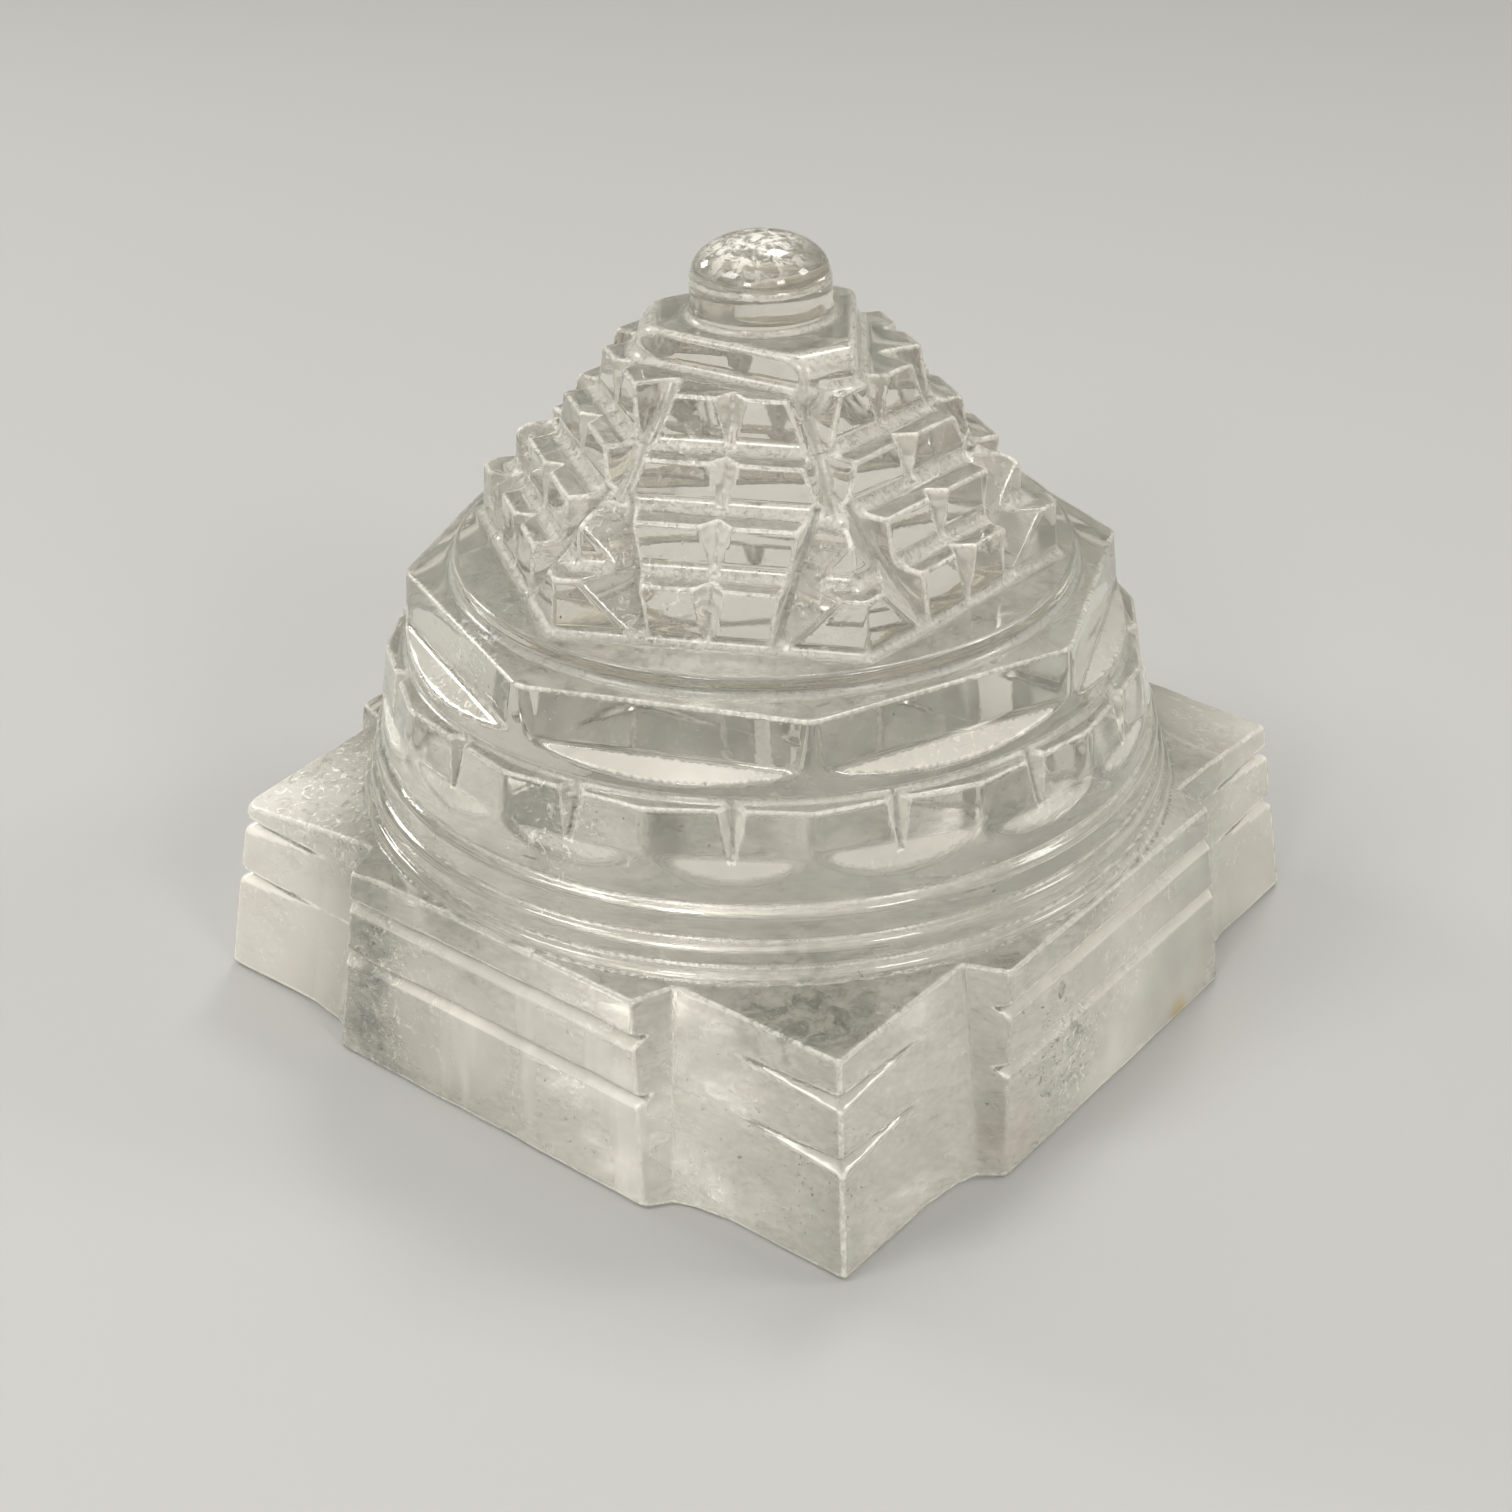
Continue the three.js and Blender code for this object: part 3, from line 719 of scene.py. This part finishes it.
def noise(tree, scale, detail, roughness=0.55, distortion=0.0):
    node = tree.nodes.new("ShaderNodeTexNoise")
    node.inputs["Scale"].default_value = scale
    node.inputs["Detail"].default_value = detail
    node.inputs["Roughness"].default_value = roughness
    node.inputs["Distortion"].default_value = distortion
    place = tree.nodes.new("ShaderNodeTexCoord")
    tree.links.new(place.outputs["Object"], node.inputs["Vector"])
    return node


def ramp(tree, source, stops):
    node = tree.nodes.new("ShaderNodeValToRGB")
    tree.links.new(source, node.inputs["Fac"])
    elements = node.color_ramp.elements
    while len(elements) < len(stops):
        elements.new(0.5)
    for element, (at, colour) in zip(elements, stops):
        element.position = at
        element.color = colour if len(colour) == 4 else (*colour, 1.0)
    return node


def grey(value):
    return (value, value, value, 1.0)


def math_node(tree, kind, a, b=None, clamp=False):
    node = tree.nodes.new("ShaderNodeMath")
    node.operation = kind
    node.use_clamp = clamp
    for socket, value in zip(node.inputs, (a, b)):
        if value is None:
            continue
        if isinstance(value, (int, float)):
            socket.default_value = value
        else:
            tree.links.new(value, socket)
    return node.outputs[0]


def mask_of(tree, name):
    node = tree.nodes.new("ShaderNodeAttribute")
    node.attribute_name = name
    return node.outputs["Fac"]


def squash(tree, node, scale):
    """Stretches a noise: a small scale draws it out along that axis."""
    mapping = tree.nodes.new("ShaderNodeMapping")
    mapping.inputs["Scale"].default_value = scale
    link = node.inputs["Vector"].links[0]
    source = link.from_socket
    tree.links.new(source, mapping.inputs["Vector"])
    tree.links.new(mapping.outputs["Vector"], node.inputs["Vector"])


def mix_colour(tree, factor, a, b):
    node = tree.nodes.new("ShaderNodeMix")
    node.data_type = "RGBA"
    tree.links.new(factor, node.inputs["Factor"])
    tree.links.new(a, node.inputs["A"])
    node.inputs["B"].default_value = b
    return node.outputs["Result"]


# where the stone is milky, smoky, has stains and is speckled, with one painted dark reflection among the smoky
# places: place and reach in millimetres, then amount or colour
MILKY = (
    ((-27, -27, 6), 17, 0.66),
    ((27, 27, 6), 16, 0.50),
    ((28, 4, 6), 18, 0.30),
    ((8, -28, 6), 16, 0.16),
    ((-5, -29.5, 6), 8, 0.30),
)
# the three places at the left gate's end are smoky veils; the last, on the front corner's tread, is a painted
# dark reflection
SMOKY_AND_DARK_REFLECTION = (((-10.4, -30, 10), 2.6), ((-10.6, -30, 6.5), 2.6), ((-10.8, -30, 3), 2.6), ((21, -23, 14.5), 6))
STREAKED = ((5, -30, 2), 15)
MOTTLED = ((0.3, -1.0, 52.2), 5.0)
STAINED = (
    ((29.2, 8.0, 0.5), 1.6, (0.93, 0.78, 0.42, 1.0)),
    ((27.6, -12.0, 2.6), 3.2, (0.98, 0.84, 0.72, 1.0)),
)
SPECKLED = (
    ((-10.3, -30, 9), 5), ((-10.6, -30, 3), 5), ((-21, -20, 13.5), 9), ((-18, -21, 17), 10),
    ((-7, -23, 28), 7), ((29, -5.5, 5), 5), ((-4, -16, 33), 6), ((5, -16, 33), 5),
    ((0, -13, 36.5), 6), ((13, -9, 34), 5), ((2, -10, 42), 5), ((-11, -8, 37), 6), ((4, -26, 22.5), 5),
)
FULL_WITHIN = 0.35                            # share of a place's reach within which it has its full amount
QUARTZ_IOR = 1.54
FINE_BUMP = 0.0002                            # metres


def near_point(tree, place, radius):
    """1 at a place in the stone, falling to 0 at radius, both in millimetres."""
    coords = tree.nodes.new("ShaderNodeTexCoord")
    away = tree.nodes.new("ShaderNodeVectorMath")
    away.operation = "DISTANCE"
    tree.links.new(coords.outputs["Object"], away.inputs[0])
    away.inputs[1].default_value = [c * MM for c in place]
    fall = tree.nodes.new("ShaderNodeMapRange")
    fall.interpolation_type = "SMOOTHSTEP"
    tree.links.new(away.outputs["Value"], fall.inputs["Value"])
    fall.inputs["From Min"].default_value = radius * MM
    fall.inputs["From Max"].default_value = radius * MM * FULL_WITHIN
    return fall.outputs["Result"]


def rock_crystal():
    material, tree, shader = nodes_of("rock_crystal")

    def product(a, b):
        return math_node(tree, "MULTIPLY", a, b)

    def total(a, b):
        return math_node(tree, "ADD", a, b)

    def stepped(source, low, high, low_value=0, high_value=1):
        """A grey ramp on a value from low to high."""
        return ramp(tree, source, [(low, grey(low_value)), (high, grey(high_value))]).outputs["Color"]

    clouds = noise(tree, 90, 4, 0.6, 0.4)
    patches = stepped(noise(tree, 150, 3, 0.5).outputs["Fac"], 0.46, 0.60)
    # milk: clouds, upright streaks in the base, milky corners, frosted edges and ground scoops
    milk = product(stepped(clouds.outputs["Fac"], 0.35, 0.75), 0.12)
    streaks = noise(tree, 210, 3, 0.55)
    squash(tree, streaks, (1.0, 1.0, 0.12))
    streak_mask = stepped(streaks.outputs["Fac"], 0.50, 0.64)
    milk = total(milk, product(product(streak_mask, near_point(tree, *STREAKED)), 0.26))
    for place, reach, amount in MILKY:
        milk = total(milk, product(near_point(tree, place, reach), amount))
    grain = noise(tree, 1500, 5, 0.75, 1.0)
    chips = stepped(grain.outputs["Fac"], 0.36, 0.54, 0.30)
    edges = stepped(mask_of(tree, "edge"), 0.06, 0.26)
    frost = math_node(tree, "MULTIPLY", product(edges, chips), 0.60, True)
    milk = total(milk, frost)
    milk = total(milk, product(mask_of(tree, "scoop"), 0.40))
    # speckles: white and dark, in patches and at places
    mottle = stepped(noise(tree, 1100, 4, 0.7, 0.6).outputs["Fac"], 0.44, 0.56)
    milk = total(milk, product(product(mottle, near_point(tree, *MOTTLED)), 0.75))
    where = product(patches, 0.35)
    for place, reach in SPECKLED:
        where = math_node(tree, "MAXIMUM", where, near_point(tree, place, reach))
    white = stepped(noise(tree, 1250, 5, 0.75, 1.3).outputs["Fac"], 0.55, 0.64)
    milk = total(milk, product(product(white, where), 0.55))
    clear = math_node(tree, "SUBTRACT", 0.98, milk, True)
    tree.links.new(clear, shader.inputs["Transmission Weight"])
    tint = ramp(tree, clouds.outputs["Fac"], [(0.3, (0.96, 0.93, 0.835)), (0.7, (0.99, 0.97, 0.895))])
    dashes = noise(tree, 720, 5, 0.75, 1.0)
    squash(tree, dashes, (1.0, 1.0, 2.6))
    dark_specks = stepped(dashes.outputs["Fac"], 0.38, 0.47, 1, 0)
    # painted shade: inner corners and creases are darkened
    crease_shade_mask = stepped(mask_of(tree, "crease_shade"), 0.10, 0.30)
    smoke_and_dark_reflection = stepped(noise(tree, 650, 5, 0.75, 1.2).outputs["Fac"], 0.44, 0.55, 1, 0)
    dark_marks_and_painted_shade = total(product(product(dark_specks, where), 0.50), product(product(crease_shade_mask, chips), 0.58))
    # smoky veils, and a painted dark reflection on the front corner's tread
    for place, reach in SMOKY_AND_DARK_REFLECTION:
        dark_marks_and_painted_shade = math_node(tree, "MAXIMUM", dark_marks_and_painted_shade, product(product(smoke_and_dark_reflection, near_point(tree, place, reach)), 0.75))
    base_colour = tint.outputs["Color"]
    for place, reach, colour in STAINED:
        base_colour = mix_colour(tree, near_point(tree, place, reach), base_colour, colour)
    # the dark grey paints real dark specks and smoky veils, together with the painted crease shade and a
    # painted dark reflection
    base_colour = mix_colour(tree, dark_marks_and_painted_shade, base_colour, (0.22, 0.22, 0.215, 1.0))
    tree.links.new(base_colour, shader.inputs["Base Color"])
    smudge = noise(tree, 260, 5, 0.6)
    rough = ramp(tree, smudge.outputs["Fac"], [(0.4, grey(0.02)), (0.75, grey(0.08))])
    tree.links.new(total(rough.outputs["Color"], product(frost, 0.3)), shader.inputs["Roughness"])
    shader.inputs["IOR"].default_value = QUARTZ_IOR
    bump = tree.nodes.new("ShaderNodeBump")
    bump.inputs["Strength"].default_value = 0.05
    bump.inputs["Distance"].default_value = FINE_BUMP
    tree.links.new(smudge.outputs["Fac"], bump.inputs["Height"])
    tree.links.new(bump.outputs["Normal"], shader.inputs["Normal"])
    return material


def ground_underside():
    material, tree, shader = nodes_of("ground_underside")
    pits = noise(tree, 800, 5, 0.72, 1.0)
    stains = noise(tree, 110, 4, 0.6)
    tone = ramp(tree, pits.outputs["Fac"], [
        (0.36, (0.45, 0.44, 0.42)), (0.43, (0.85, 0.84, 0.80)), (0.6, (0.97, 0.96, 0.92))])
    tree.links.new(tone.outputs["Color"], shader.inputs["Base Color"])
    cover = ramp(tree, stains.outputs["Fac"], [(0.40, grey(0.45)), (0.58, grey(0.95))])
    tree.links.new(cover.outputs["Color"], shader.inputs["Transmission Weight"])
    shader.inputs["Roughness"].default_value = 0.25
    shader.inputs["IOR"].default_value = QUARTZ_IOR
    bump = tree.nodes.new("ShaderNodeBump")
    bump.inputs["Strength"].default_value = 0.25
    bump.inputs["Distance"].default_value = FINE_BUMP
    tree.links.new(pits.outputs["Fac"], bump.inputs["Height"])
    tree.links.new(bump.outputs["Normal"], shader.inputs["Normal"])
    return material


def fleck_mirror():
    material, tree, shader = nodes_of("fleck_mirror")
    tone = ramp(tree, noise(tree, 1500, 2).outputs["Fac"], [
        (0.42, (0.30, 0.30, 0.29)), (0.48, (0.75, 0.74, 0.71)), (0.56, (0.98, 0.97, 0.93))])
    tree.links.new(tone.outputs["Color"], shader.inputs["Base Color"])
    shader.inputs["Metallic"].default_value = 0.35
    shader.inputs["Roughness"].default_value = 0.18
    return material


def joined_face():
    """The unseen faces where two pieces meet."""
    material, _tree, shader = nodes_of("joined_face")
    shader.inputs["Alpha"].default_value = 0.0
    return material


MATERIALS = (rock_crystal(), joined_face(), ground_underside(), fleck_mirror())
JOINED, UNDERSIDE, FLECK = 1, 2, 3            # their places in a mesh
fleck_v, fleck_n, fleck_f, fleck_z = build_flecks()
for i, (name, v, n, f, outer) in enumerate(build_pieces(VOXEL)):
    which = np.zeros(len(f), np.int32)
    which[outer:] = JOINED
    if name == NAMES[0]:
        which[(v[f, 2] < 0.2).all(axis=1) & (n[f, 2].mean(axis=1) < -0.8)] = UNDERSIDE
    inside = (fleck_z > CUT_LEVELS[i]) & (fleck_z < CUT_LEVELS[i + 1])
    if inside.any():
        grains = fleck_f[:inside.sum()].reshape(-1, 3) + len(v)
        v = np.concatenate([v, fleck_v[inside].reshape(-1, 3)])
        grain_n = fleck_n[inside].reshape(-1, 3)
        n = np.concatenate([n, np.column_stack([grain_n, np.zeros((len(grain_n), n.shape[1] - 3))])])
        f = np.concatenate([f, grains])
        which = np.concatenate([which, np.full(len(grains), FLECK, np.int32)])
    mesh = make_mesh("crystal_" + name, v, n, f)
    for material in MATERIALS:
        mesh.materials.append(material)
    mesh.polygons.foreach_set("material_index", which)
    piece = bpy.data.objects.new("crystal_" + name, mesh)
    bpy.context.collection.objects.link(piece)
    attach(piece, "root")
    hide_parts(name)

# Floor, light and camera
FLOOR_FLAT = 0.9                              # metres, and from there it curves up into a low pale backdrop
FLOOR_CURVE = 0.4                             # radius of the curve, metres
FLOOR_SIDES = 96
FLOOR_DROP = 0.0001                           # metres, keeps the floor clear of the stone's underside
curve = np.radians(np.linspace(0, 75, 16))
profile_out = np.concatenate([[FLOOR_FLAT - 0.05], FLOOR_FLAT + FLOOR_CURVE * np.sin(curve)])
profile_up = np.concatenate([[0.0], FLOOR_CURVE * (1 - np.cos(curve))]) - FLOOR_DROP
spokes = 2 * math.pi * np.arange(FLOOR_SIDES) / FLOOR_SIDES
floor_points = [
    (r * math.cos(a), r * math.sin(a), z) for r, z in zip(profile_out, profile_up) for a in spokes]
floor_faces = [tuple(range(FLOOR_SIDES))]
for ring in range(len(profile_out) - 1):
    for i in range(FLOOR_SIDES):
        here, after = ring * FLOOR_SIDES + i, ring * FLOOR_SIDES + (i + 1) % FLOOR_SIDES
        floor_faces.append((here, here + FLOOR_SIDES, after + FLOOR_SIDES, after))
floor_mesh = bpy.data.meshes.new("floor")
floor_mesh.from_pydata(floor_points, [], floor_faces)
floor_mesh.polygons.foreach_set("use_smooth", [True] * len(floor_faces))
floor = bpy.data.objects.new("floor", floor_mesh)
bpy.context.collection.objects.link(floor)
floor_material, tree, shader = nodes_of("pale_floor")
shader.inputs["Base Color"].default_value = (0.51, 0.51, 0.503, 1.0)
shader.inputs["Roughness"].default_value = 0.6
floor_mesh.materials.append(floor_material)

world = bpy.data.worlds.new("studio")
world.use_nodes = True
bpy.context.scene.world = world
backdrop = world.node_tree.nodes["Background"]
sky = world.node_tree.nodes.new("ShaderNodeTexCoord")
split = world.node_tree.nodes.new("ShaderNodeSeparateXYZ")
world.node_tree.links.new(sky.outputs["Generated"], split.inputs[0])
dome = ramp(world.node_tree, split.outputs["Z"], [
    (0.0, (0.03, 0.029, 0.027)), (0.3, (0.06, 0.058, 0.054)), (0.5, (0.22, 0.215, 0.20)),
    (0.68, (0.66, 0.65, 0.605)), (0.9, (0.92, 0.90, 0.85))])
glow = world.node_tree.nodes.new("ShaderNodeVectorMath")
glow.operation = "DOT_PRODUCT"
world.node_tree.links.new(sky.outputs["Generated"], glow.inputs[0])
glow.inputs[1].default_value = (-0.55, 0.66, 0.51)
lobe = ramp(world.node_tree, glow.outputs["Value"], [
    (0.70, (0, 0, 0)), (0.86, (0.20, 0.195, 0.18)), (0.96, (0.50, 0.488, 0.455)), (1.0, (0.56, 0.546, 0.51))])
both = world.node_tree.nodes.new("ShaderNodeMix")
both.data_type = "RGBA"
both.blend_type = "ADD"
both.inputs["Factor"].default_value = 1.0
world.node_tree.links.new(dome.outputs["Color"], both.inputs["A"])
world.node_tree.links.new(lobe.outputs["Color"], both.inputs["B"])
world.node_tree.links.new(both.outputs["Result"], backdrop.inputs["Color"])
backdrop.inputs["Strength"].default_value = 0.70


LAMP_COLOUR = (1.0, 0.98, 0.95)
LAMP_TARGET = (0, 0, 0.02)                    # metres


def area_light(name, place, size, power):
    data = bpy.data.lights.new(name, "AREA")
    data.shape = "RECTANGLE"
    data.size = data.size_y = size
    data.energy = power
    data.color = LAMP_COLOUR
    light = bpy.data.objects.new(name, data)
    bpy.context.collection.objects.link(light)
    light.location = place
    light.rotation_euler = (Vector(LAMP_TARGET) - Vector(place)).to_track_quat("-Z", "Y").to_euler()


LAMPS = {                                     # place in metres, size in metres, power in watts
    "key": ((-0.17, -0.33, 0.44), 0.17, 0.90),
    "right": ((0.44, -0.12, 0.32), 0.12, 0.60),
    "back_right": ((0.36, 0.30, 0.38), 0.14, 0.62),
    "back_left": ((-0.10, 0.28, 0.50), 0.12, 0.62),
    "left": ((-0.46, -0.02, 0.26), 0.11, 0.56),
    "front_right": ((0.12, -0.46, 0.30), 0.10, 0.48),
}
for name, (place, size, power) in LAMPS.items():
    area_light(name, place, size, power)

# angles in degrees, focal length in pixels of the photo, the rest in millimetres
CAMERA = dict(azimuth=39.123, elevation=30.0, roll=-0.958, focal=2300.0,
              distance=170.334, right=-1.004, up=12.226)
PHOTO_WIDTH = 1512
SENSOR = 36.0


def aim_camera():
    az, el, roll = (math.radians(CAMERA[k]) for k in ("azimuth", "elevation", "roll"))
    back = Vector((math.sin(az) * math.cos(el), -math.cos(az) * math.cos(el), math.sin(el)))
    right = Vector((math.cos(az), math.sin(az), 0.0))
    up = back.cross(right)
    right, up = right * math.cos(roll) + up * math.sin(roll), up * math.cos(roll) - right * math.sin(roll)
    eye = (back * CAMERA["distance"] + right * CAMERA["right"] + up * CAMERA["up"]) * MM
    data = bpy.data.cameras.new("camera")
    data.sensor_width = SENSOR
    data.lens = CAMERA["focal"] / PHOTO_WIDTH * SENSOR
    data.clip_start = 0.01
    camera = bpy.data.objects.new("camera", data)
    matrix = Matrix((right, up, back)).transposed().to_4x4()
    matrix.translation = eye
    camera.matrix_world = matrix
    bpy.context.collection.objects.link(camera)
    bpy.context.scene.camera = camera


aim_camera()
bpy.context.scene.view_settings.view_transform = "Standard"
bpy.context.scene.cycles.transparent_max_bounces = 64
bpy.context.scene.cycles.transmission_bounces = 12
bpy.context.scene.cycles.max_bounces = 14
